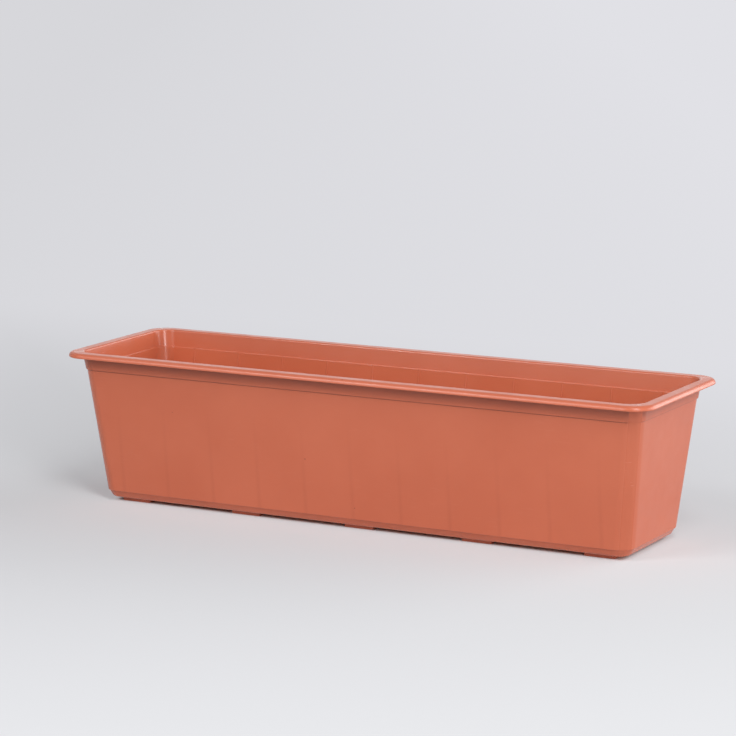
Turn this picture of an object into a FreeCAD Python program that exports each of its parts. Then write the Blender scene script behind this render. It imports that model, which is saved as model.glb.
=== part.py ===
import FreeCAD, Part
import math
import os

# Window box planter: one moulded trough and the push-in plugs that close its drain holes.
# Sizes are in millimetres. The origin is on the floor under the middle of the box,
# +X runs along its length, +Z is up and the side seen first in use faces -Y.

# Driving sizes of the trough
overall_length = 600.0
overall_width = 173.0
overall_height = 145.0
wall = 2.0                     # side walls, measured level
floor_thickness = 2.2
ground_gap = 3.8               # air gap under the base, which is also the height of the feet

# Rim: a flat flange with a rounded outer edge and a lip turned down
rim_corner_radius = 22.0
rim_overhang = 10.5            # from the rim's outer edge in to the collar, at the top
lip_depth = 4.5                # from the top of the rim down to the lip's lower edge
lip_wall = 2.0
flange_thickness = 2.0
rim_edge_radius = 4.0          # above, and what is left of the lip's depth is a chamfer below
mouth_edge_radius = 1.8        # where the flange turns down into the box

# Collar under the rim, and the shoulder below it that stops nested boxes from jamming
collar_depth = 17.0            # from the top of the rim down to the shoulder
collar_draft = 8.0             # degrees
shoulder_step = 1.1
ledge_lift = 0.8               # the ledge inside is this much above the shoulder outside

# Body
body_corner_radius = 15.5
body_draft = 6.35              # degrees, on all four sides
base_corner_radius = 7.0       # inside, where the walls meet the floor

# Foot band: small step inwards, then a leaning face that rounds under the base
band_height = 6.6
band_step = 1.0
band_lean = 28.0               # degrees from upright
band_edge_radius = 3.4

# Stiffening ribs inside the walls, from the ledge down to the floor
rib_pitch = 49.5
rib_thickness = 2.0
rib_depth_top = 0.8
rib_depth_foot = 4.0

# Feet: pads in two rows
foot_pitch = 120.4
feet_per_row = 5
foot_length = 30.5
foot_width = 12.0
foot_setback = 3.0             # from the edge of the flat base in to the foot
foot_draft = 5.0               # degrees

# Drain holes: each row has one hole midway between each two feet
drain_radius = 5.0
drain_row_offset = 30.0        # from the middle of the base to each row
seat_radius = 9.5
seat_depth = 0.8
channel_width = 6.0            # shallow channel that leads the water from seat to seat
channel_end = 25.0             # how far it runs on past the last hole

# Gate mark in the middle of the base
gate_radius = 6.0
gate_depth = 0.6

# Drain plug
plug_clearance = 0.05          # radial, shank in hole
plug_seat_gap = 0.1            # flange above seat
flange_clearance = 0.5         # radial, flange in seat
flange_height = 1.6
shank_reach = 1.4              # below the base, and still clear of the ground
tab_width = 9.0
tab_thickness = 2.0
tab_height = 8.0
tab_corner = 2.5               # cut off each upper corner of the tab

# Two sizes closer than this count as the same
same_size = 0.0001

# Levels, from the ground up
top_z = overall_height
lip_z = top_z - lip_depth
shoulder_z = top_z - collar_depth
ledge_z = shoulder_z + ledge_lift
base_z = ground_gap
band_z = base_z + band_height
floor_z = base_z + floor_thickness
seat_z = floor_z - seat_depth
flange_z = top_z - flange_thickness

upwards = FreeCAD.Vector(0, 0, 1)

# Corner radii that follow from the body's, so that each step keeps one width round the corner
collar_corner_radius = body_corner_radius + shoulder_step
band_corner_radius = body_corner_radius - band_step


def collar_inset(z):
    """How far the collar's outer face lies inside the rim's outline at a level."""
    return rim_overhang + (top_z - z) * math.tan(math.radians(collar_draft))


def body_inset(z):
    """The same for the body's outer face."""
    return collar_inset(shoulder_z) + shoulder_step + (shoulder_z - z) * math.tan(math.radians(body_draft))


def rounded_rectangle(centre_x, centre_y, half_x, half_y, radius, z):
    """Outline as four corner arcs, anticlockwise: each has its start, middle, end and centre."""
    corners = []
    quarters = ((1.0, 1.0, 0.0), (-1.0, 1.0, 90.0), (-1.0, -1.0, 180.0), (1.0, -1.0, 270.0))
    for side_x, side_y, start in quarters:
        centre = FreeCAD.Vector(centre_x + side_x * (half_x - radius),
                                centre_y + side_y * (half_y - radius), z)
        turns = [math.radians(start + turn) for turn in (0.0, 45.0, 90.0)]
        points = [centre + FreeCAD.Vector(math.cos(turn), math.sin(turn), 0.0) * radius for turn in turns]
        corners.append(points + [centre])
    return corners


def ring(inset, corner_radius, z):
    """Rounded rectangle that lies this far inside the rim's outline."""
    return rounded_rectangle(0.0, 0.0, overall_length / 2.0 - inset, overall_width / 2.0 - inset,
                             corner_radius, z)


def bend_rings(centre_inset, centre_z, bend_radius, angles, end_inset, end_corner_radius):
    """Three rings along a bend of the wall, whose corners turn about the same centres.

    An angle is measured from level and outwards, up through the vertical. The corner radius
    is given at one inset and follows from it at the others.
    """
    rings = []
    for angle in (angles[0], sum(angles) / len(angles), angles[1]):
        inset = centre_inset - bend_radius * math.cos(math.radians(angle))
        z = centre_z + bend_radius * math.sin(math.radians(angle))
        rings.append(ring(inset, end_corner_radius + end_inset - inset, z))
    return rings


def flat_face(outline):
    edges = []
    for index, (start, middle, end, centre) in enumerate(outline):
        edges.append(Part.makeLine(outline[index - 1][2], start))
        edges.append(Part.Arc(start, middle, end).toShape())
    return Part.Face(Part.Wire(edges))


def flat_ring(outer, inner):
    return flat_face(outer).cut(flat_face(inner)).Faces


def straight_walls(lower, upper):
    """Flat sides, and corners that keep either their radius or their centre on the way up."""
    faces = []
    for index in range(len(lower)):
        low_start, low_middle, low_end, low_centre = lower[index]
        high_start, high_middle, high_end, high_centre = upper[index]
        low_before = lower[index - 1][2]
        high_before = upper[index - 1][2]
        side = [low_before, low_start, high_start, high_before, low_before]
        faces.append(Part.Face(Part.makePolygon(side)))
        radius_change = low_start.distanceToPoint(low_centre) - high_start.distanceToPoint(high_centre)
        if abs(radius_change) < same_size:
            corner = Part.Arc(low_start, low_middle, low_end).toShape()
            faces.append(corner.extrude(high_start - low_start))
        else:
            slant = Part.makeLine(low_start, high_start)
            faces.append(slant.revolve(low_centre, upwards, 90.0))
    return faces


def bent_walls(lower, middle, upper):
    """Walls that bend on the way up: part of a cylinder on each side and of a torus at each corner."""
    faces = []
    for index in range(len(lower)):
        before = [outline[index - 1][2] for outline in (lower, middle, upper)]
        start = [outline[index][0] for outline in (lower, middle, upper)]
        faces.append(Part.Arc(*before).toShape().extrude(start[0] - before[0]))
        faces.append(Part.Arc(*start).toShape().revolve(lower[index][3], upwards, 90.0))
    return faces


def closed_solid(faces):
    shell = Part.Shell(faces)
    shell.sewShape()
    solid = Part.Solid(shell)
    if solid.Volume < 0.0:
        solid.reverse()
    return solid


# Edge of the flat base, where the rounding of the foot band ends
band_reach = band_height * math.tan(math.radians(band_lean))
band_round_reach = band_edge_radius * math.tan(math.radians(90.0 - band_lean) / 2.0)
flat_base_inset = body_inset(band_z) + band_step + band_reach + band_round_reach


def foot_positions():
    middle = (feet_per_row - 1) / 2.0
    return [(index - middle) * foot_pitch for index in range(feet_per_row)]


def drain_positions():
    columns = foot_positions()
    middles = [(left + right) / 2.0 for left, right in zip(columns, columns[1:])]
    return [(x, side * drain_row_offset) for side in (-1.0, 1.0) for x in middles]


def make_outside():
    """Everything the outer faces enclose, from the flat base up to the flat top of the rim."""
    body_foot = ring(body_inset(band_z), body_corner_radius, band_z)
    body_top = ring(body_inset(shoulder_z), body_corner_radius, shoulder_z)
    band_inset = body_inset(band_z) + band_step
    band_top = ring(band_inset, band_corner_radius, band_z)
    band_bend = bend_rings(flat_base_inset, base_z + band_edge_radius, band_edge_radius,
                           (-90.0, -band_lean), band_inset, band_corner_radius)
    collar_foot = ring(collar_inset(shoulder_z), collar_corner_radius, shoulder_z)
    collar_top = ring(collar_inset(flange_z), collar_corner_radius, flange_z)
    groove_top = ring(lip_wall, rim_corner_radius - lip_wall, flange_z)
    groove_foot = ring(lip_wall, rim_corner_radius - lip_wall, lip_z)
    lip_edge = lip_depth - rim_edge_radius
    lip_foot = ring(lip_edge, rim_corner_radius - lip_edge, lip_z)
    rim_bend = bend_rings(rim_edge_radius, top_z - rim_edge_radius, rim_edge_radius, (0.0, 90.0),
                          0.0, rim_corner_radius)
    faces = [flat_face(band_bend[0])]
    faces += bent_walls(*band_bend)
    faces += straight_walls(band_bend[2], band_top)
    faces += flat_ring(body_foot, band_top)
    faces += straight_walls(body_foot, body_top)
    faces += flat_ring(collar_foot, body_top)
    faces += straight_walls(collar_foot, collar_top)
    faces += flat_ring(groove_top, collar_top)
    faces += straight_walls(groove_foot, groove_top)
    faces += flat_ring(lip_foot, groove_foot)
    faces += straight_walls(lip_foot, rim_bend[0])
    faces += bent_walls(*rim_bend)
    faces.append(flat_face(rim_bend[2]))
    return closed_solid(faces)


def wall_rib(half_width):
    """Rib on a wall that faces +Y, at x = 0: shallow at the ledge, deeper at the floor."""
    wall_top_y = half_width - body_inset(ledge_z) - wall
    wall_foot_y = half_width - body_inset(floor_z) - wall
    nose_top = FreeCAD.Vector(0, wall_top_y - rib_depth_top, ledge_z)
    nose_foot = FreeCAD.Vector(0, wall_foot_y - rib_depth_foot, floor_z)
    root_foot = FreeCAD.Vector(0, wall_foot_y + wall, floor_z)
    root_top = FreeCAD.Vector(0, wall_top_y + wall, ledge_z)
    face = Part.Face(Part.makePolygon([root_top, nose_top, nose_foot, root_foot, root_top]))
    face.translate(FreeCAD.Vector(-rib_thickness / 2.0, 0, 0))
    return face.extrude(FreeCAD.Vector(rib_thickness, 0, 0))


def make_ribs():
    """As many ribs at one pitch as the straight part of each wall holds at the foot."""
    ribs = []
    walls = ((overall_width / 2.0, overall_length / 2.0, 0.0),
             (overall_length / 2.0, overall_width / 2.0, 90.0))
    for half_depth, half_run, turn in walls:
        straight = half_run - body_inset(band_z) - body_corner_radius
        each_side = int(straight // rib_pitch)
        pattern = wall_rib(half_depth)
        for index in range(-each_side, each_side + 1):
            for facing in (0.0, 180.0):
                rib = pattern.copy()
                rib.translate(FreeCAD.Vector(index * rib_pitch, 0, 0))
                rib.rotate(FreeCAD.Vector(0, 0, 0), upwards, turn + facing)
                ribs.append(rib)
    return ribs


def make_cavity():
    """Hollow of the box, from the floor up to the flat top of the rim, less the ribs."""
    body_radius = body_corner_radius - wall
    collar_radius = collar_corner_radius - wall
    foot_centre_z = floor_z + base_corner_radius
    body_cosine = math.cos(math.radians(body_draft))
    foot_centre_inset = body_inset(foot_centre_z) + wall + base_corner_radius / body_cosine
    foot_end_inset = foot_centre_inset - base_corner_radius * body_cosine
    foot_bend = bend_rings(foot_centre_inset, foot_centre_z, base_corner_radius, (-90.0, -body_draft),
                           foot_end_inset, body_radius)
    ledge_inner = ring(body_inset(ledge_z) + wall, body_radius, ledge_z)
    ledge_outer = ring(collar_inset(ledge_z) + wall, collar_radius, ledge_z)
    mouth_centre_z = top_z - mouth_edge_radius
    collar_cosine = math.cos(math.radians(collar_draft))
    mouth_centre_inset = collar_inset(mouth_centre_z) + wall - mouth_edge_radius / collar_cosine
    mouth_end_inset = mouth_centre_inset + mouth_edge_radius * collar_cosine
    mouth_bend = bend_rings(mouth_centre_inset, mouth_centre_z, mouth_edge_radius,
                            (180.0 - collar_draft, 90.0), mouth_end_inset, collar_radius)
    faces = [flat_face(foot_bend[0])]
    faces += bent_walls(*foot_bend)
    faces += straight_walls(foot_bend[2], ledge_inner)
    faces += flat_ring(ledge_outer, ledge_inner)
    faces += straight_walls(ledge_outer, mouth_bend[0])
    faces += bent_walls(*mouth_bend)
    faces.append(flat_face(mouth_bend[2]))
    return closed_solid(faces).cut(make_ribs())


def make_feet():
    """Two rows of pads, a little narrower at the ground."""
    middle_y = overall_width / 2.0 - flat_base_inset - foot_setback - foot_width / 2.0
    shrink = ground_gap * math.tan(math.radians(foot_draft))
    feet = []
    for x in foot_positions():
        for y in (-middle_y, middle_y):
            outlines = []
            for z, less in ((0.0, shrink), (base_z, 0.0)):
                half_x = foot_length / 2.0 - less
                half_y = foot_width / 2.0 - less
                corners = ((half_x, half_y), (-half_x, half_y), (-half_x, -half_y), (half_x, -half_y))
                points = [FreeCAD.Vector(x + across, y + along, z) for across, along in corners]
                outlines.append(Part.makePolygon(points + points[:1]))
            feet.append(Part.makeLoft(outlines, True, True))
    return feet


def round_bar(radius, x, y, low_z, high_z):
    return Part.makeCylinder(radius, high_z - low_z, FreeCAD.Vector(x, y, low_z))


def make_channels():
    """Shallow channel along each row of drain holes, with round ends."""
    far_x = max(x for x, y in drain_positions()) + channel_end
    channels = []
    for y in (-drain_row_offset, drain_row_offset):
        straight = Part.makeBox(2.0 * far_x, channel_width, seat_depth,
                                FreeCAD.Vector(-far_x, y - channel_width / 2.0, seat_z))
        ends = [round_bar(channel_width / 2.0, x, y, seat_z, floor_z) for x in (-far_x, far_x)]
        channels.append(straight.fuse(ends))
    return channels


def make_trough():
    holes = [round_bar(drain_radius, x, y, base_z, floor_z) for x, y in drain_positions()]
    seats = [round_bar(seat_radius, x, y, seat_z, floor_z) for x, y in drain_positions()]
    gate = round_bar(gate_radius, 0.0, 0.0, base_z, base_z + gate_depth)
    shell = make_outside().cut(make_cavity()).fuse(make_feet())
    shell = shell.cut(holes + seats + make_channels() + [gate])
    return shell.removeSplitter()


def make_plug():
    """Push-in plug at the origin's axis: flange in its seat, shank in the hole, and a pull tab."""
    under_z = seat_z + plug_seat_gap
    flange_top = under_z + flange_height
    flange = round_bar(seat_radius - flange_clearance, 0.0, 0.0, under_z, flange_top)
    shank = round_bar(drain_radius - plug_clearance, 0.0, 0.0, base_z - shank_reach, under_z)
    return flange.fuse([shank, make_tab(flange_top)]).removeSplitter()


def make_tab(low_z):
    """Upright tab, with its upper corners cut off, to pull the plug out by."""
    half = tab_width / 2.0
    corner_z = low_z + tab_height - tab_corner
    outline = [(-half, low_z), (half, low_z), (half, corner_z), (half - tab_corner, low_z + tab_height),
               (tab_corner - half, low_z + tab_height), (-half, corner_z)]
    points = [FreeCAD.Vector(x, -tab_thickness / 2.0, z) for x, z in outline]
    return Part.Face(Part.makePolygon(points + points[:1])).extrude(FreeCAD.Vector(0, tab_thickness, 0))


def save(shape, name):
    solids = shape.Solids
    print(name, "solids", len(solids), "valid", shape.isValid(), "volume", round(shape.Volume, 1))
    result = solids[0] if len(solids) == 1 else Part.makeCompound(solids)
    result.exportStep(os.path.join("parts", name + ".step"))


os.makedirs("parts", exist_ok=True)
save(make_trough(), "trough")
plug = make_plug()
for number, (hole_x, hole_y) in enumerate(drain_positions(), start=1):
    placed = plug.copy()
    placed.translate(FreeCAD.Vector(hole_x, hole_y, 0))
    save(placed, "drain_plug_%d" % number)
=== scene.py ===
import math

import bmesh
import bpy
from mathutils import Matrix, Vector


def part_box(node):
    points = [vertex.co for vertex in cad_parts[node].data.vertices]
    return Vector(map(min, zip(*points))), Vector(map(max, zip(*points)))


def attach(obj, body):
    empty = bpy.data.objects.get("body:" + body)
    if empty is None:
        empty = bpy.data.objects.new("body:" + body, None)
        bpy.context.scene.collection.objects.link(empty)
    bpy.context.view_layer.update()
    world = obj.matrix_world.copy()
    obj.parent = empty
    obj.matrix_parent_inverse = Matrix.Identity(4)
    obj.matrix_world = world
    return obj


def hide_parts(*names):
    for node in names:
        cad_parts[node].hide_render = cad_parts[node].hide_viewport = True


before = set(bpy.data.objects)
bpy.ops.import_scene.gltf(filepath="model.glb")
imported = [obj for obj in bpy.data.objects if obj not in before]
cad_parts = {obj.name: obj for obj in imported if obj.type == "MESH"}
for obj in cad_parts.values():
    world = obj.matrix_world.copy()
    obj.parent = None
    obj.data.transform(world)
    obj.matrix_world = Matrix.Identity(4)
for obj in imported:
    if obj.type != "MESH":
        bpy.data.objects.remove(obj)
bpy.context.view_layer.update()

mm = 0.001  # sizes below are in millimetres


# Modelling helpers

def deselectAll():
    if bpy.context.object and bpy.context.object.mode != "OBJECT":
        bpy.ops.object.mode_set(mode="OBJECT")
    bpy.ops.object.select_all(action="DESELECT")


def makeActive(piece):
    deselectAll()
    bpy.context.view_layer.objects.active = piece
    piece.select_set(True)


def startEditing(piece):
    makeActive(piece)
    bpy.ops.object.mode_set(mode="EDIT")


def stopEditing():
    bpy.ops.object.mode_set(mode="OBJECT")


def selectWhere(piece, kind, test):  # kind is verts, edges or faces; the test gets the place in millimetres
    bpy.ops.mesh.select_mode(type={"verts": "VERT", "edges": "EDGE", "faces": "FACE"}[kind])
    bpy.ops.mesh.select_all(action="DESELECT")
    mesh = bmesh.from_edit_mesh(piece.data)
    for part in getattr(mesh, kind):
        if kind == "verts":
            part.select_set(test(part.co / mm))
        elif kind == "edges":
            part.select_set(test(part.verts[0].co / mm, part.verts[1].co / mm))
        else:
            part.select_set(test(part.calc_center_median() / mm))
    mesh.select_flush_mode()
    bmesh.update_edit_mesh(piece.data)


def startBlock(name, low, high):  # a block between two corners, left open in edit mode
    deselectAll()
    middle = [(a + b) / 2 * mm for a, b in zip(low, high)]
    bpy.ops.mesh.primitive_cube_add(size=1, location=middle)
    piece = bpy.context.object
    piece.name = name
    piece.scale = [(b - a) * mm for a, b in zip(low, high)]
    bpy.ops.object.transform_apply(location=True, rotation=True, scale=True)
    bpy.ops.object.mode_set(mode="EDIT")
    return piece


def makeRod(name, radius, x, y, lowZ, highZ, sides):
    deselectAll()
    bpy.ops.mesh.primitive_cylinder_add(vertices=sides, radius=radius * mm, depth=(highZ - lowZ) * mm,
                                        location=(x * mm, y * mm, (lowZ + highZ) / 2 * mm))
    rod = bpy.context.object
    rod.name = name
    bpy.ops.object.transform_apply(location=True, rotation=True, scale=True)
    return rod


def copyPiece(piece, name, move, turn=0):
    twin = piece.copy()
    twin.data = piece.data.copy()
    twin.name = name
    bpy.context.collection.objects.link(twin)
    twin.data.transform(Matrix.Rotation(math.radians(turn), 4, "Z") @ Matrix.Translation(Vector(move) * mm))
    return twin


def joinPieces(pieces):
    deselectAll()
    for piece in pieces:
        piece.select_set(True)
    bpy.context.view_layer.objects.active = pieces[0]
    bpy.ops.object.join()
    return bpy.context.object


def combine(piece, tool, operation):
    makeActive(piece)
    step = piece.modifiers.new("step", "BOOLEAN")
    step.object = tool
    step.operation = operation
    step.solver = "EXACT"
    bpy.ops.object.modifier_apply(modifier=step.name)
    bpy.data.objects.remove(tool)


def smoothPiece(piece, angle):
    makeActive(piece)
    bpy.ops.object.shade_smooth_by_angle(angle=math.radians(angle))
    weigh = piece.modifiers.new("weigh", "WEIGHTED_NORMAL")
    weigh.keep_sharp = True
    weigh.weight = 80
    bpy.ops.object.modifier_apply(modifier=weigh.name)


# Trough: one injection moulding, followed as rings of one rounded rectangle from the flat base,
# up the outside, over the rim, down the inside and onto the floor

troughLow, troughHigh = [Vector(corner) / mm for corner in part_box("trough")]
trough = {
    "length": troughHigh.x - troughLow.x,
    "width": troughHigh.y - troughLow.y,
    "height": troughHigh.z,
    "wall": 2.0,
    "floor": 2.2,
    "groundGap": 3.8,
    "rimCorner": 22.0,       # radius of the rim's corners seen from above
    "rimOverhang": 10.5,
    "rimEdge": 4.0,
    "lipDepth": 4.5,
    "lipWall": 2.0,
    "flange": 2.0,
    "mouthEdge": 1.8,
    "collarDepth": 17.0,
    "collarDraft": 8.0,      # degrees
    "shoulder": 1.1,
    "ledgeLift": 0.8,
    "bodyCorner": 15.5,
    "bodyDraft": 6.35,       # degrees
    "baseCorner": 7.0,
    "bandHeight": 6.6,
    "bandStep": 1.0,
    "bandLean": 28.0,        # degrees
    "bandEdge": 3.4,
    "softEdge": 0.35,        # edges that the mould leaves just off sharp
    "softHollow": 0.25,
    "underRimHollow": 0.6,
    "lipHollow": 0.4,
    "ledgeEdge": 0.4,
    "cornerSteps": 16,
}
bodySlope = math.tan(math.radians(trough["bodyDraft"]))
collarSlope = math.tan(math.radians(trough["collarDraft"]))
topZ = trough["height"]
shoulderZ = topZ - trough["collarDepth"]
ledgeZ = shoulderZ + trough["ledgeLift"]
flangeZ = topZ - trough["flange"]
lipZ = topZ - trough["lipDepth"]
baseZ = trough["groundGap"]
bandZ = baseZ + trough["bandHeight"]
floorZ = baseZ + trough["floor"]


def collarInset(z):  # from the rim's outline in to the collar's outer face
    return trough["rimOverhang"] + (topZ - z) * collarSlope


def bodyInset(z):
    return collarInset(shoulderZ) + trough["shoulder"] + (shoulderZ - z) * bodySlope


def troughProfile():  # rows of inset, height, corner radius of the ring there, and rounding of the profile
    wall, soft, hollow = trough["wall"], trough["softEdge"], trough["softHollow"]
    bandInset = bodyInset(bandZ) + trough["bandStep"]
    bandFoot = bandInset + trough["bandHeight"] * math.tan(math.radians(trough["bandLean"]))
    bodyCorner = trough["bodyCorner"]
    bandCorner = bodyCorner - trough["bandStep"]
    bandFootCorner = bandCorner - (bandFoot - bandInset)
    collarCorner = bodyCorner + trough["shoulder"]
    rimCorner, lipWall = trough["rimCorner"], trough["lipWall"]
    lipEdge = trough["lipDepth"] - trough["rimEdge"]
    mouthInset = collarInset(topZ) + wall
    mouthCorner = collarCorner - wall
    baseReach, floorReach = 6.0, 9.0    # from a rounding in to the first and the last ring
    pastEdge, pastMouth = 0.5, 2.2      # rings on the flat of the rim, just past its roundings
    return [
        (bandFoot + baseReach, baseZ, bandFootCorner - baseReach, 0),
        (bandFoot, baseZ, bandFootCorner, trough["bandEdge"]),
        (bandInset, bandZ, bandCorner, hollow),
        (bodyInset(bandZ), bandZ, bodyCorner, soft),
        (bodyInset(shoulderZ), shoulderZ, bodyCorner, hollow),
        (collarInset(shoulderZ), shoulderZ, collarCorner, soft),
        (collarInset(flangeZ), flangeZ, collarCorner, trough["underRimHollow"]),
        (lipWall, flangeZ, rimCorner - lipWall, trough["lipHollow"]),
        (lipWall, lipZ, rimCorner - lipWall, soft),
        (0, lipZ, rimCorner, lipEdge),
        (0, topZ, rimCorner, trough["rimEdge"]),
        (trough["rimEdge"] + pastEdge, topZ, rimCorner - trough["rimEdge"] - pastEdge, 0),
        (mouthInset - pastMouth, topZ, mouthCorner + pastMouth, 0),
        (mouthInset, topZ, mouthCorner, trough["mouthEdge"]),
        (collarInset(ledgeZ) + wall, ledgeZ, collarCorner - wall, trough["ledgeEdge"]),
        (bodyInset(ledgeZ) + wall, ledgeZ, bodyCorner - wall, trough["ledgeEdge"]),
        (bodyInset(floorZ) + wall, floorZ, bodyCorner - wall, trough["baseCorner"]),
        (bodyInset(floorZ) + wall + floorReach, floorZ, bodyCorner - wall - floorReach, 0),
    ]


def roundedRings(rows):  # the profile with its corners rounded, as rows of inset, height and corner radius
    rings = [rows[0][:3]]
    for before, here, after in zip(rows, rows[1:], rows[2:]):
        bend = here[3]
        if bend == 0:
            rings.append(here[:3])
            continue
        corner, back, on = [Vector(row[:2]) for row in (here, before, after)]
        toBack, toOn = (back - corner), (on - corner)
        half = toBack.angle(toOn) / 2
        reach = bend / math.tan(half)
        start, end = corner + toBack.normalized() * reach, corner + toOn.normalized() * reach
        centre = corner + (toBack.normalized() + toOn.normalized()).normalized() * bend / math.sin(half)
        startRadius = here[2] + (before[2] - here[2]) * reach / toBack.length
        endRadius = here[2] + (after[2] - here[2]) * reach / toOn.length
        turn = (start - centre).angle_signed(end - centre)
        steps = 3 if bend < 1 else 6 if bend < 3 else 9  # more of them on a larger rounding
        for step in range(steps + 1):
            part = step / steps
            angle = -turn * part
            spoke = start - centre
            inset = centre.x + spoke.x * math.cos(angle) - spoke.y * math.sin(angle)
            z = centre.y + spoke.x * math.sin(angle) + spoke.y * math.cos(angle)
            share = (inset - start.x) / (end.x - start.x) if abs(end.x - start.x) > 0.01 else part
            if math.dist(rings[-1][:2], (inset, z)) > 0.001:  # two rings in one place can't be bridged
                rings.append((inset, z, startRadius + (endRadius - startRadius) * share))
    rings.append(rows[-1][:3])
    return rings


def addRing(inset, z, cornerRadius):  # in edit mode: a plane at its size with its corners rounded
    bpy.ops.mesh.primitive_plane_add(size=1, location=(0, 0, z * mm))
    size = [(trough[name] - 2 * inset) * mm for name in ("length", "width")]
    bpy.ops.transform.resize(value=(*size, 1), center_override=(0, 0, z * mm))
    bpy.ops.mesh.bevel(offset=cornerRadius * mm, segments=trough["cornerSteps"], affect="VERTICES")


def selectRings(piece, numbers):  # in edit mode: the edges of these rings, and nothing between them
    bpy.ops.mesh.select_all(action="DESELECT")
    mesh = bmesh.from_edit_mesh(piece.data)
    layer = mesh.verts.layers.int["ring"]
    for edge in mesh.edges:
        ends = {vert[layer] for vert in edge.verts}
        edge.select_set(len(ends) == 1 and ends.pop() in numbers)
    mesh.select_flush_mode()


def makeSkin():
    deselectAll()
    bpy.ops.mesh.primitive_plane_add(size=1)
    piece = bpy.context.object
    piece.name = "troughMoulding"
    piece.data.name = "troughMoulding"
    bpy.ops.object.mode_set(mode="EDIT")
    bpy.ops.mesh.select_mode(type="VERT")
    bpy.ops.mesh.select_all(action="SELECT")
    bpy.ops.mesh.delete(type="VERT")
    bmesh.from_edit_mesh(piece.data).verts.layers.int.new("ring")
    rings = roundedRings(troughProfile())
    stack = 50  # mm between rings while they are bridged
    for number, (inset, z, cornerRadius) in enumerate(rings, start=1):
        addRing(inset, number * stack, cornerRadius)
        mesh = bmesh.from_edit_mesh(piece.data)
        layer = mesh.verts.layers.int["ring"]
        for vert in mesh.verts:
            if vert[layer] == 0:
                vert[layer] = number
    bpy.ops.mesh.select_all(action="SELECT")
    bpy.ops.mesh.delete(type="ONLY_FACE")
    bpy.ops.mesh.select_mode(type="EDGE")
    for number in range(1, len(rings)):
        selectRings(piece, (number, number + 1))
        bpy.ops.mesh.bridge_edge_loops()
    for number in (1, len(rings)):
        selectRings(piece, (number,))
        bpy.ops.mesh.edge_face_add()
    for number, (inset, z, cornerRadius) in enumerate(rings, start=1):
        selectRings(piece, (number,))
        bpy.ops.transform.translate(value=(0, 0, (z - number * stack) * mm))
    bpy.ops.mesh.select_all(action="SELECT")
    bpy.ops.mesh.normals_make_consistent(inside=False)
    stopEditing()
    return piece


# Ribs: moulded on the inner walls, shallow at the ledge and deeper towards the floor

rib = {"pitch": 49.5, "thickness": 2.0, "depthTop": 0.3, "depthFoot": 4.0, "edge": 0.5, "root": 1.0,
       "blankFrom": 10, "blankTo": 40,  # mm in from the rim's outline, the block that it is cut from
       "rootTurns": (33, 60, 88)}       # degrees, the cuts that follow the curve into the floor
sunk = 1.0  # mm that ribs and feet reach into the base that they are joined to


def cutAway(inset, z, outward, upward):  # in edit mode: takes off what lies past a plane across the profile
    bpy.ops.mesh.select_all(action="SELECT")
    place = (0, (trough["width"] / 2 - inset) * mm, z * mm)
    bpy.ops.mesh.bisect(plane_co=place, plane_no=(0, outward, upward), use_fill=True, clear_outer=True)


def makeRib():
    wall = trough["wall"]
    noseTop = bodyInset(ledgeZ) + wall + rib["depthTop"]
    noseFoot = bodyInset(floorZ) + wall + rib["depthFoot"]
    half = rib["thickness"] / 2
    far, near = [trough["width"] / 2 - rib[name] for name in ("blankFrom", "blankTo")]
    piece = startBlock("rib", (-half, near, baseZ + sunk), (half, far, ledgeZ))
    noseTurn = math.atan2(noseFoot - noseTop, ledgeZ - floorZ)
    cutAway(noseTop, ledgeZ, -math.cos(noseTurn), math.sin(noseTurn))
    draft = math.radians(trough["bodyDraft"])
    bendZ = floorZ + trough["baseCorner"]
    bendInset = bodyInset(bendZ) + wall + trough["baseCorner"] / math.cos(draft)
    rootRadius = trough["baseCorner"] + rib["root"]
    for angle in [-draft] + [-math.radians(turn) for turn in rib["rootTurns"]]:
        across, up = math.cos(angle), math.sin(angle)
        cutAway(bendInset - rootRadius * across, bendZ + rootRadius * up, across, up)
    noseY = trough["width"] / 2 - noseTop
    slant = (noseFoot - noseTop) / (ledgeZ - floorZ)
    selectWhere(piece, "edges", lambda a, b: abs(a.z - b.z) > 60  # the nose's two long edges
                and all(abs(v.y - noseY + (ledgeZ - v.z) * slant) < 0.05 for v in (a, b)))
    bpy.ops.mesh.bevel(offset=rib["edge"] * mm, segments=3)
    stopEditing()
    return piece


def makeRibs():
    pattern = makeRib()
    ribs = []
    toEnd = (trough["length"] - trough["width"]) / 2
    for run, move, turns in ((trough["length"], 0, (0, 180)), (trough["width"], toEnd, (90, -90))):
        straight = run / 2 - bodyInset(bandZ) - trough["bodyCorner"]  # from the middle to the corner's start
        eachSide = int(straight // rib["pitch"])
        for place in range(-eachSide, eachSide + 1):
            for turn in turns:
                ribs.append(copyPiece(pattern, "rib", (place * rib["pitch"], move, 0), turn))
    bpy.data.objects.remove(pattern)
    return joinPieces(ribs)


# Feet: two rows of pads, fused into the base

foot = {"pitch": 120.4, "perRow": 5, "length": 30.5, "width": 12.0, "setback": 3.0, "shrink": 0.33,
        "corner": 1.2, "edge": 0.35}


def footPlaces():
    return [(place - (foot["perRow"] - 1) / 2) * foot["pitch"] for place in range(foot["perRow"])]


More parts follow.
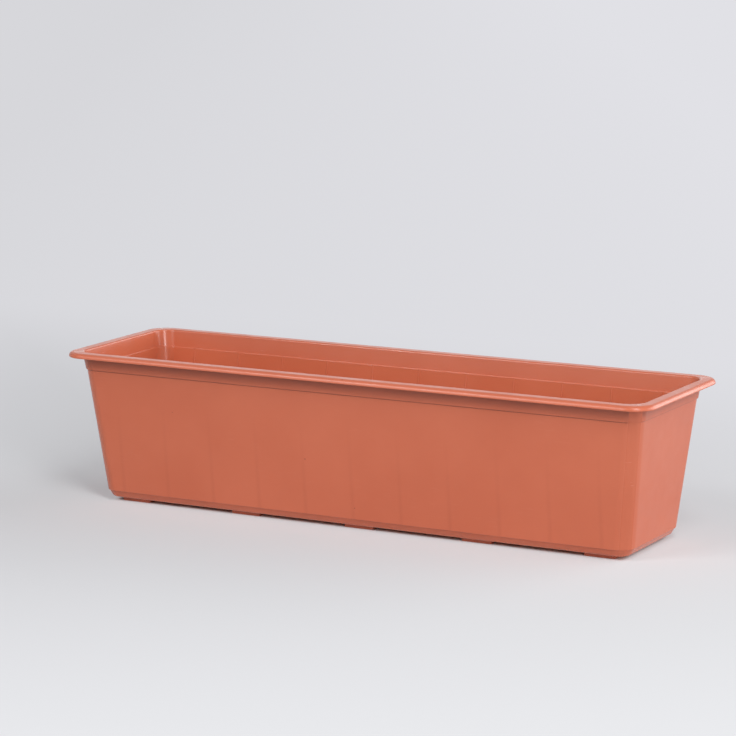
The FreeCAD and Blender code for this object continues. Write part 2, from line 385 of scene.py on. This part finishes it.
def makeFeet():
    lean = math.radians(trough["bandLean"])
    bandFoot = bodyInset(bandZ) + trough["bandStep"] + trough["bandHeight"] * math.tan(lean)
    flatInset = bandFoot + trough["bandEdge"] * math.tan((math.pi / 2 - lean) / 2)
    rowY = trough["width"] / 2 - flatInset - foot["setback"] - foot["width"] / 2
    halfX, halfY = foot["length"] / 2, foot["width"] / 2
    pattern = startBlock("foot", (-halfX, -halfY, 0), (halfX, halfY, baseZ + sunk))
    selectWhere(pattern, "faces", lambda c: c.z < 0.1)  # the sole, a little smaller, as its draft leaves it
    bpy.ops.transform.resize(value=((halfX - foot["shrink"]) / halfX, (halfY - foot["shrink"]) / halfY, 1),
                             center_override=(0, 0, 0))
    selectWhere(pattern, "edges", lambda a, b: abs(a.z - b.z) > 1)
    bpy.ops.mesh.bevel(offset=foot["corner"] * mm, segments=4)
    selectWhere(pattern, "edges", lambda a, b: a.z < 0.1 and b.z < 0.1)
    bpy.ops.mesh.bevel(offset=foot["edge"] * mm, segments=2)
    stopEditing()
    feet = [copyPiece(pattern, "foot", (x, y, 0)) for x in footPlaces() for y in (-rowY, rowY)]
    bpy.data.objects.remove(pattern)
    return joinPieces(feet)


# Drain holes: a row each side, midway between the feet, each in a seat, with a channel from seat to seat

drain = {"radius": 5.0, "rowY": 30.0, "seatRadius": 9.5, "seatDepth": 0.8, "channelWidth": 6.0,
         "channelEnd": 25.0, "gateRadius": 6.0, "gateDepth": 0.6,
         "clear": 3.0}  # how far the shapes that cut them stand above the floor
seatZ = floorZ - drain["seatDepth"]
nearlyRound = 0.97  # share of the half width that rounds an end, just short of where its corners meet


def drainPlaces():
    feet = footPlaces()
    middles = [(left + right) / 2 for left, right in zip(feet, feet[1:])]
    return [(x, y) for y in (-drain["rowY"], drain["rowY"]) for x in middles]


def makeChannels():
    half = max(x for x, y in drainPlaces()) + drain["channelEnd"] + drain["channelWidth"] / 2
    wide = drain["channelWidth"] / 2
    pattern = startBlock("channel", (-half, -wide, seatZ), (half, wide, floorZ + drain["clear"]))
    selectWhere(pattern, "edges", lambda a, b: abs(a.z - b.z) > 1)
    bpy.ops.mesh.bevel(offset=wide * nearlyRound * mm, segments=8)
    stopEditing()
    channels = [copyPiece(pattern, "channel", (0, y, 0)) for y in (-drain["rowY"], drain["rowY"])]
    bpy.data.objects.remove(pattern)
    return joinPieces(channels)


def makeTrough():
    piece = makeSkin()
    combine(piece, makeRibs(), "UNION")
    combine(piece, makeFeet(), "UNION")
    combine(piece, makeChannels(), "DIFFERENCE")
    places, top = drainPlaces(), floorZ + drain["clear"]
    seats = [makeRod("seat", drain["seatRadius"], x, y, seatZ, top, 48) for x, y in places]
    combine(piece, joinPieces(seats), "DIFFERENCE")
    holes = [makeRod("hole", drain["radius"], x, y, 0, top, 40) for x, y in places]
    combine(piece, joinPieces(holes), "DIFFERENCE")
    gate = makeRod("gate", drain["gateRadius"], 0, 0, 0, baseZ + drain["gateDepth"], 40)
    combine(piece, gate, "DIFFERENCE")
    smoothPiece(piece, 34)
    return piece


troughPiece = makeTrough()
print("trough modelled:", len(troughPiece.data.polygons), "faces")


# Drain plugs: flange in the seat, hollow shank in the hole, pull tab with an eye

plug = {"flangeRadius": 9.0, "flangeHeight": 1.6, "flangeEdge": 0.4, "seatGap": 0.1, "shankRadius": 4.95,
        "hollowRadius": 3.5, "hollowTop": 0.3, "tipZ": 2.4, "tipChamfer": 0.5, "tipTaper": 0.6,
        "tabWidth": 9.0, "tabThickness": 2.0, "tabHeight": 8.0, "tabSunk": 0.5, "tabEdge": 0.3,
        "eyeRadius": 1.9}


def makePlug():
    underZ = seatZ + plug["seatGap"]
    flangeTop = underZ + plug["flangeHeight"]
    flange, shank, hollow = plug["flangeRadius"], plug["shankRadius"], plug["hollowRadius"]
    tip, edge, roofZ = plug["tipZ"], plug["flangeEdge"], underZ + plug["hollowTop"]
    turned = 0.3 * edge  # where the edge's rounding has its middle point
    outline = [(0, flangeTop), (flange - edge, flangeTop), (flange - turned, flangeTop - turned),
               (flange, flangeTop - edge), (flange, underZ), (shank, underZ),
               (shank, tip + plug["tipTaper"]), (shank - plug["tipChamfer"], tip),
               (hollow, tip), (hollow, roofZ), (0, roofZ)]
    deselectAll()
    bpy.ops.mesh.primitive_plane_add(size=1)
    piece = bpy.context.object
    piece.name = "drainPlug"
    bpy.ops.object.mode_set(mode="EDIT")
    bpy.ops.mesh.select_mode(type="VERT")
    bpy.ops.mesh.merge(type="CENTER")
    bpy.ops.transform.translate(value=(0, 0, outline[0][1] * mm))
    for here, after in zip(outline, outline[1:]):
        bpy.ops.mesh.extrude_region_move(TRANSFORM_OT_translate={
            "value": ((after[0] - here[0]) * mm, 0, (after[1] - here[1]) * mm)})
    bpy.ops.mesh.select_all(action="SELECT")
    bpy.ops.mesh.spin(steps=48, angle=math.radians(360), center=(0, 0, 0), axis=(0, 0, 1))
    bpy.ops.mesh.select_all(action="SELECT")
    bpy.ops.mesh.remove_doubles(threshold=0.01 * mm)
    bpy.ops.mesh.normals_make_consistent(inside=False)
    stopEditing()

    half, thin = plug["tabWidth"] / 2, plug["tabThickness"] / 2
    roundHead = 0.98  # share of the half width, short of where the head's two corners meet
    headZ = flangeTop + plug["tabHeight"] - half
    tab = startBlock("tab", (-half, -thin, flangeTop - plug["tabSunk"]), (half, thin, headZ + half))
    selectWhere(tab, "edges", lambda a, b: abs(a.y - b.y) > 1 and a.z > headZ)
    bpy.ops.mesh.bevel(offset=half * roundHead * mm, segments=10)
    stopEditing()
    eye = makeRod("eye", plug["eyeRadius"], 0, 0, -3, 3, 32)
    eye.data.transform(Matrix.Translation((0, 0, headZ * mm)) @ Matrix.Rotation(math.radians(90), 4, "X"))
    combine(tab, eye, "DIFFERENCE")
    startEditing(tab)
    footZ = flangeTop - plug["tabSunk"] - 0.1
    selectWhere(tab, "edges", lambda a, b: a.y * b.y > 0 and abs(a.y - b.y) < 0.01  # along its two faces
                and min(a.z, b.z) > footZ and max(a.z, b.z) > flangeTop)
    bpy.ops.mesh.bevel(offset=plug["tabEdge"] * mm, segments=2)
    stopEditing()
    combine(piece, tab, "UNION")
    smoothPiece(piece, 40)
    return piece


plugPattern = makePlug()
plugPieces = []
for number, (x, y) in enumerate(drainPlaces(), start=1):
    plugPieces.append(copyPiece(plugPattern, "drainPlug%d" % number, (x, y, 0)))
bpy.data.objects.remove(plugPattern)
print("drain plugs modelled:", len(plugPieces))


# Materials

def hexColour(code):  # sRGB hex to the linear colour that a shader takes
    channels = [int(code[place:place + 2], 16) / 255 for place in (1, 3, 5)]
    return [c / 12.92 if c <= 0.04045 else ((c + 0.055) / 1.055) ** 2.4 for c in channels] + [1]


def addNode(owner, kind, inputs={}, output=0, **settings):  # an input is a value or the output that feeds it
    node = owner.node_tree.nodes.new("ShaderNode" + kind)
    for name, value in settings.items():
        setattr(node, name, value)
    for socket, value in inputs.items():
        if isinstance(value, bpy.types.NodeSocket):
            owner.node_tree.links.new(value, node.inputs[socket])
        else:
            node.inputs[socket].default_value = value
    return node.outputs[output] if node.outputs else node


def startMaterial(name):
    material = bpy.data.materials.new(name)
    material.use_nodes = True
    material.node_tree.nodes.clear()
    return material


# Injection-moulded polypropylene coloured terracotta. The eye gets an even, slightly orange red-brown,
# a soft sheen with no sparkle, cloudy tone from the pigment and a few dark grains of it. Sizes are in mm
polypropylene = {
    "tone": "#C26648",
    "cloud": "#BD6143",
    "cloudSize": 90,
    "speck": "#6E3326",
    "speckSpacing": 24,
    "speckRadius": 0.528,
    "speckShare": 0.35,      # of the cells that hold one
    "grainSize": 0.9,        # coarser than the mould's own so that it shows
    "waveSize": 45,          # how the wall bows as it cools
    "glossSize": 14,         # patches of slightly duller and shinier skin
    "glossSpread": 0.04,
    "scuff": "#C97A60",
    "scuffWidth": 1.6,       # hair lines in patches, worn dull
    "scuffStretch": 0.12,
    "scuffPatch": 60,
    "scuffAmount": 0.1,
    "scuffDulling": 0.5,
    # painted shade: one dark tone for the steps, under the lip and on the feet
    "shadeTone": "#5E2A1D",
    "stepShadeAmount": 0.55,      # painted shade in the steps under the collar and above the foot band
    "stepShadeFade": 0.35,
    "lipShadeAmount": 0.5,  # painted shade on the collar, deepest just under the lip
    # painted shade on the feet, in the dark gap under the base
    "footShadeAmount": 0.2,
    "paintedBandLight": "#F08A62",     # painted light: the foot band made paler for the light that its downward lean keeps from it
    "paintedBandLightAmount": 0.95,
    "paintedBandLightEnd": (1.6, 1.2), # below the band's upper edge, where it fades out
    "ior": 1.49,
}

# Outside, from an etched mould: an even sheen, and a shallow sink over each rib with painted shade along it
outsideFinish = {"roughness": 0.33, "grainDepth": 0.012, "waveDepth": 0.10,
                 "sinkWidth": 3.4, "sinkShade": 0.16, "sinkShadeTone": "#9A4A33", "sinkDepth": 0.09}
# Inside, from a polished core: tighter streaks of light in the corners
insideFinish = {"roughness": 0.22, "grainDepth": 0.004, "waveDepth": 0.10}
# Plugs, of softer polyethylene: waxy and a little duller
plugFinish = {"roughness": 0.40, "grainDepth": 0.015, "waveDepth": 0.02}


def paintShadeAndLight(material, place, colour):  # painted shade and light on the outside, by height above the ground: shade in the two steps, under the lip and on the feet, light on the foot band
    look = polypropylene
    height = addNode(material, "SeparateXYZ", {0: place}, "Z")
    underCollar, aboveBand = (shoulderZ - 0.1, 0.25), (bandZ - 0.5, 0.6)  # height and reach of the painted shade lines
    # painted shade in the step under the collar and in the step above the foot band
    for stepZ, reach in (underCollar, aboveBand):
        away = addNode(material, "Math", {0: height, 1: stepZ * mm}, operation="SUBTRACT")
        away = addNode(material, "Math", {0: away}, operation="ABSOLUTE")
        stepShade = addNode(material, "MapRange", {
            "Value": away, "From Min": reach * mm, "From Max": (reach + look["stepShadeFade"]) * mm,
            "To Min": look["stepShadeAmount"], "To Max": 0})
        colour = addNode(material, "Mix", {"Factor": stepShade, "A": colour, "B": hexColour(look["shadeTone"])},
                         "Result", data_type="RGBA")
    # painted shade under the lip, growing from the shoulder up to the lip
    towardsLip = addNode(material, "MapRange", {
        "Value": height, "From Min": shoulderZ * mm, "From Max": lipZ * mm,
        "To Max": look["lipShadeAmount"]})
    belowLip = addNode(material, "Math", {0: height, 1: (lipZ - 0.1) * mm}, operation="LESS_THAN")
    lipShade = addNode(material, "Math", {0: towardsLip, 1: belowLip}, operation="MULTIPLY")
    colour = addNode(material, "Mix", {"Factor": lipShade, "A": colour, "B": hexColour(look["shadeTone"])},
                     "Result", data_type="RGBA")
    # painted light on the foot band, which leans down and away from the lamps
    fadeFrom, fadeTo = look["paintedBandLightEnd"]
    onBand = addNode(material, "MapRange", {
        "Value": height, "From Min": (bandZ - fadeFrom) * mm, "From Max": (bandZ - fadeTo) * mm,
        "To Min": look["paintedBandLightAmount"], "To Max": 0})
    aboveFeet = addNode(material, "Math", {0: height, 1: baseZ * mm}, operation="GREATER_THAN")
    paintedBandLight = addNode(material, "Math", {0: onBand, 1: aboveFeet}, operation="MULTIPLY")
    colour = addNode(material, "Mix", {"Factor": paintedBandLight, "A": colour, "B": hexColour(look["paintedBandLight"])},
                     "Result", data_type="RGBA")
    # painted shade on the feet
    onFeet = addNode(material, "Math", {0: height, 1: (baseZ - 0.05) * mm}, operation="LESS_THAN")
    footShade = addNode(material, "Math", {0: onFeet, 1: look["footShadeAmount"]}, operation="MULTIPLY")
    return addNode(material, "Mix", {"Factor": footShade, "A": colour, "B": hexColour(look["shadeTone"])},
                   "Result", data_type="RGBA")


def sinkGroove(material, place, width):  # over each rib, from nothing under the collar to full at the floor
    along = addNode(material, "SeparateXYZ", {0: place}, "X")
    height = addNode(material, "SeparateXYZ", {0: place}, "Z")
    fromRib = addNode(material, "Math", {0: along, 1: rib["pitch"] / 2 * mm}, operation="PINGPONG")
    groove = addNode(material, "MapRange", {
        "Value": fromRib, "From Max": width * mm, "To Min": 1, "To Max": 0}, interpolation_type="SMOOTHSTEP")
    growth = addNode(material, "MapRange", {
        "Value": height, "From Min": floorZ * mm, "From Max": (shoulderZ - 20) * mm,
        "To Min": 1, "To Max": 0})
    return addNode(material, "Math", {0: groove, 1: growth}, operation="MULTIPLY")


def moulded(name, finish):
    look = polypropylene
    material = startMaterial(name)
    place = addNode(material, "TexCoord", {}, "Object")

    clouds = addNode(material, "TexNoise", {
        "Vector": place, "Scale": 1 / (look["cloudSize"] * mm), "Detail": 3}, "Fac")
    cloudy = addNode(material, "MapRange", {"Value": clouds, "From Min": 0.35, "From Max": 0.65})
    colour = addNode(material, "Mix", {
        "Factor": cloudy, "A": hexColour(look["tone"]), "B": hexColour(look["cloud"])},
        "Result", data_type="RGBA")

    cells = {"Vector": place, "Scale": 1 / (look["speckSpacing"] * mm)}
    toGrain = addNode(material, "TexVoronoi", cells, "Distance")
    chance = addNode(material, "SeparateColor", {0: addNode(material, "TexVoronoi", cells, "Color")})
    reach = look["speckRadius"] / look["speckSpacing"]
    near = addNode(material, "Math", {0: toGrain, 1: reach}, operation="LESS_THAN")
    chosen = addNode(material, "Math", {0: chance, 1: look["speckShare"]}, operation="LESS_THAN")
    speck = addNode(material, "Math", {0: near, 1: chosen}, operation="MULTIPLY")
    colour = addNode(material, "Mix", {"Factor": speck, "A": colour, "B": hexColour(look["speck"])},
                     "Result", data_type="RGBA")

    stretch = (look["scuffStretch"], look["scuffStretch"], 1)
    stretched = addNode(material, "Mapping", {"Vector": place, "Scale": stretch})
    hairs = addNode(material, "TexNoise", {
        "Vector": stretched, "Scale": 1 / (look["scuffWidth"] * mm)}, "Fac")
    hairs = addNode(material, "MapRange", {
        "Value": hairs, "From Min": 0.58, "From Max": 0.75, "To Max": look["scuffAmount"]})
    patches = addNode(material, "TexNoise", {
        "Vector": place, "Scale": 1 / (look["scuffPatch"] * mm)}, "Fac")
    patches = addNode(material, "MapRange", {"Value": patches, "From Min": 0.5, "From Max": 0.62})
    scuff = addNode(material, "Math", {0: hairs, 1: patches}, operation="MULTIPLY")
    colour = addNode(material, "Mix", {"Factor": scuff, "A": colour, "B": hexColour(look["scuff"])},
                     "Result", data_type="RGBA")

    grain = addNode(material, "TexNoise", {
        "Vector": place, "Scale": 1 / (look["grainSize"] * mm), "Detail": 3, "Roughness": 0.6}, "Fac")
    surface = addNode(material, "Bump", {
        "Height": grain, "Strength": 1, "Distance": finish["grainDepth"] * mm})
    wave = addNode(material, "TexNoise", {
        "Vector": place, "Scale": 1 / (look["waveSize"] * mm), "Detail": 1}, "Fac")
    surface = addNode(material, "Bump", {
        "Height": wave, "Strength": 1, "Distance": finish["waveDepth"] * mm, "Normal": surface})
    if "sinkWidth" in finish:
        colour = paintShadeAndLight(material, place, colour)
        groove = sinkGroove(material, place, finish["sinkWidth"])
        # painted shade along each sink groove, beside the bump that sinks it
        shade = addNode(material, "Math", {0: groove, 1: finish["sinkShade"]}, operation="MULTIPLY")
        colour = addNode(material, "Mix", {"Factor": shade, "A": colour, "B": hexColour(finish["sinkShadeTone"])},
                         "Result", data_type="RGBA")
        level = addNode(material, "Math", {0: 1, 1: groove}, operation="SUBTRACT")
        surface = addNode(material, "Bump", {
            "Height": level, "Strength": 1, "Distance": finish["sinkDepth"] * mm, "Normal": surface})

    gloss = addNode(material, "TexNoise", {
        "Vector": place, "Scale": 1 / (look["glossSize"] * mm), "Detail": 3}, "Fac")
    gloss = addNode(material, "MapRange", {
        "Value": gloss, "From Min": 0.3, "From Max": 0.7,
        "To Min": finish["roughness"] - look["glossSpread"],
        "To Max": finish["roughness"] + look["glossSpread"]})
    dulling = addNode(material, "Math", {0: scuff, 1: look["scuffDulling"]}, operation="MULTIPLY")
    rough = addNode(material, "Math", {0: gloss, 1: dulling}, operation="ADD")
    shader = addNode(material, "BsdfPrincipled", {
        "Base Color": colour, "Roughness": rough, "IOR": look["ior"], "Normal": surface})
    addNode(material, "OutputMaterial", {"Surface": shader})
    return material


satinWall = moulded("satinPolypropylene", outsideFinish)
polishedWall = moulded("polishedPolypropylene", insideFinish)
plugPlastic = moulded("softPolyethylene", plugFinish)
print("materials made")


def insideTrough(place):  # past the middle of the wall, measured level, and above the floor or in its seats
    inset = min(trough["length"] / 2 - abs(place.x), trough["width"] / 2 - abs(place.y))
    middle = (collarInset(place.z) if place.z > shoulderZ else bodyInset(place.z)) + trough["wall"] / 2
    return inset > middle and place.z > floorZ - 1.5


troughPiece.data.materials.clear()
troughPiece.data.materials.append(satinWall)
troughPiece.data.materials.append(polishedWall)
for face in troughPiece.data.polygons:
    face.material_index = 1 if insideTrough(face.center / mm) else 0
for piece in plugPieces:
    piece.data.materials.clear()
    piece.data.materials.append(plugPlastic)

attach(troughPiece, "trough")
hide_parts("trough")
for number, piece in enumerate(plugPieces, start=1):
    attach(piece, "drain_plug_%d" % number)
    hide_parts("drain_plug_%d" % number)
print("materials and bodies set")


# Camera: the photograph's viewpoint, found from the box's own edges (degrees and millimetres)

view = {"azimuth": 28.449, "elevation": 10.222, "roll": -0.169, "distance": 2852.0, "aside": -14.6,
        "height": 141.4, "lens": 151.4, "sensor": 36}


# Studio: a pale paper floor that fades into its own evenly lit distance, a tall softbox to the right of the
# camera, a broader one to its left with a small one above, a long pale panel at the right end and a faint
# softbox behind

studio = {
    "paper": "#D4D5D7",
    "distance": "#D7D7DB",       # the paper far behind the box, and the air above it
    "distanceRight": "#E1E1E6",
    "front": "#EDEEF1",          # the paper nearest the camera
    "sideFade": 700,             # mm each way from the box, over which the distance changes tone
    "frontFade": (150, 900),     # mm towards the camera
    "near": 0.36,                # share of that even light beside the box, where it softens the shadow
    "feetInset": 40,             # mm from the rim's outline in to where the fade starts
    "nearEnd": 6,                # mm from there
    "farEnd": 900,
    "ambient": 0.06,
}


def seenDirectly(owner):  # 1 for the camera, reflections and see-through parts, 0 for light that spreads
    total = addNode(owner, "LightPath", {}, "Is Camera Ray")
    for name in ("Is Glossy Ray", "Is Transmission Ray"):
        other = addNode(owner, "LightPath", {}, name)
        total = addNode(owner, "Math", {0: total, 1: other}, operation="MAXIMUM")
    return total


def shareTowards(material, place, azimuth, start, end):  # 0 to 1 between two distances, along the floor
    way = (math.sin(math.radians(azimuth)), -math.cos(math.radians(azimuth)), 0)
    reach = addNode(material, "VectorMath", {0: place, 1: way}, "Value", operation="DOT_PRODUCT")
    return addNode(material, "MapRange", {"Value": reach, "From Min": start * mm, "From Max": end * mm})


def makeFloor():
    deselectAll()
    bpy.ops.mesh.primitive_plane_add(size=40)
    piece = bpy.context.object
    piece.name = "studioFloor"
    material = startMaterial("mattPaper")
    place = addNode(material, "TexCoord", {}, "Object")

    sides = []
    for axis, size in (("X", "length"), ("Y", "width")):
        across = addNode(material, "SeparateXYZ", {0: place}, axis)
        across = addNode(material, "Math", {0: across}, operation="ABSOLUTE")
        edge = (trough[size] / 2 - studio["feetInset"]) * mm
        sides.append(addNode(material, "Math", {0: across, 1: edge}, operation="SUBTRACT"))
    away = addNode(material, "Math", {0: sides[0], 1: sides[1]}, operation="MAXIMUM")
    nearRise = addNode(material, "MapRange", {"Value": away, "From Max": studio["nearEnd"] * mm,
                                              "To Max": studio["near"]}, interpolation_type="SMOOTHSTEP")
    farRise = addNode(material, "MapRange", {"Value": away, "From Max": studio["farEnd"] * mm,
                                             "To Max": 1 - studio["near"]}, interpolation_type="SMOOTHSTEP")
    fade = addNode(material, "Math", {0: nearRise, 1: farRise}, operation="ADD")
    fade = addNode(material, "Math", {0: fade, 1: seenDirectly(material)}, operation="MULTIPLY")

    rightwards = shareTowards(material, place, view["azimuth"] + 90, -studio["sideFade"], studio["sideFade"])
    tone = addNode(material, "Mix", {"Factor": rightwards, "A": hexColour(studio["distance"]),
                                     "B": hexColour(studio["distanceRight"])}, "Result", data_type="RGBA")
    forwards = shareTowards(material, place, view["azimuth"], *studio["frontFade"])
    tone = addNode(material, "Mix", {"Factor": forwards, "A": tone, "B": hexColour(studio["front"])},
                   "Result", data_type="RGBA")
    paper = addNode(material, "BsdfDiffuse", {"Color": hexColour(studio["paper"])})
    glow = addNode(material, "Emission", {"Color": tone, "Strength": 1})
    mixed = addNode(material, "MixShader", {0: fade, 1: paper, 2: glow})
    addNode(material, "OutputMaterial", {"Surface": mixed})
    piece.data.materials.append(material)


def addSoftbox(name, azimuth, elevation, distance, width, height, power):  # aimed at the box
    lamp = bpy.data.lights.new(name, "AREA")
    lamp.shape = "RECTANGLE"
    lamp.size, lamp.size_y = width, height
    lamp.energy = power
    holder = bpy.data.objects.new(name, lamp)
    bpy.context.collection.objects.link(holder)
    a, e = math.radians(azimuth), math.radians(elevation)
    away = Vector((math.sin(a) * math.cos(e), -math.cos(a) * math.cos(e), math.sin(e)))
    holder.location = away * distance + Vector((0, 0, topZ / 2 * mm))
    holder.rotation_euler = away.to_track_quat("Z", "Y").to_euler()


makeFloor()
# azimuth from the box's front and elevation in degrees, distance, width and height in metres, power in watts
addSoftbox("keySoftbox", 46, 39, 2.6, 0.6, 2.6, 59)
addSoftbox("leftSoftbox", -22, 30, 2.6, 1.0, 1.8, 22)
addSoftbox("highLeftSoftbox", -36, 36, 2.6, 0.4, 0.4, 10)
addSoftbox("rightPanel", 128, 16, 2.4, 3.0, 1.5, 54)
addSoftbox("backSoftbox", -150, 12, 2.6, 1.6, 1.0, 2.4)

world = bpy.data.worlds.new("studioWorld")
bpy.context.scene.world = world
world.use_nodes = True
background = world.node_tree.nodes["Background"]
background.inputs["Color"].default_value = hexColour(studio["distance"])
level = addNode(world, "MapRange", {"Value": seenDirectly(world), "To Min": studio["ambient"]})
world.node_tree.links.new(level, background.inputs["Strength"])

bpy.context.scene.view_settings.view_transform = "Standard"


def placeCamera():
    azimuth, elevation, roll = [math.radians(view[name]) for name in ("azimuth", "elevation", "roll")]
    back = Vector((math.sin(azimuth) * math.cos(elevation), -math.cos(azimuth) * math.cos(elevation),
                   math.sin(elevation)))
    level = Vector((math.cos(azimuth), math.sin(azimuth), 0))
    upright = back.cross(level)
    right = level * math.cos(roll) + upright * math.sin(roll)
    up = upright * math.cos(roll) - level * math.sin(roll)
    holder = bpy.data.objects.new("camera", bpy.data.cameras.new("camera"))
    bpy.context.collection.objects.link(holder)
    place = level * view["aside"] + Vector((0, 0, view["height"])) + back * view["distance"]
    holder.matrix_world = Matrix.Translation(place * mm) @ Matrix((right, up, back)).transposed().to_4x4()
    holder.data.lens = view["lens"]
    holder.data.sensor_width = view["sensor"]
    bpy.context.scene.camera = holder


placeCamera()
print("studio and camera set")
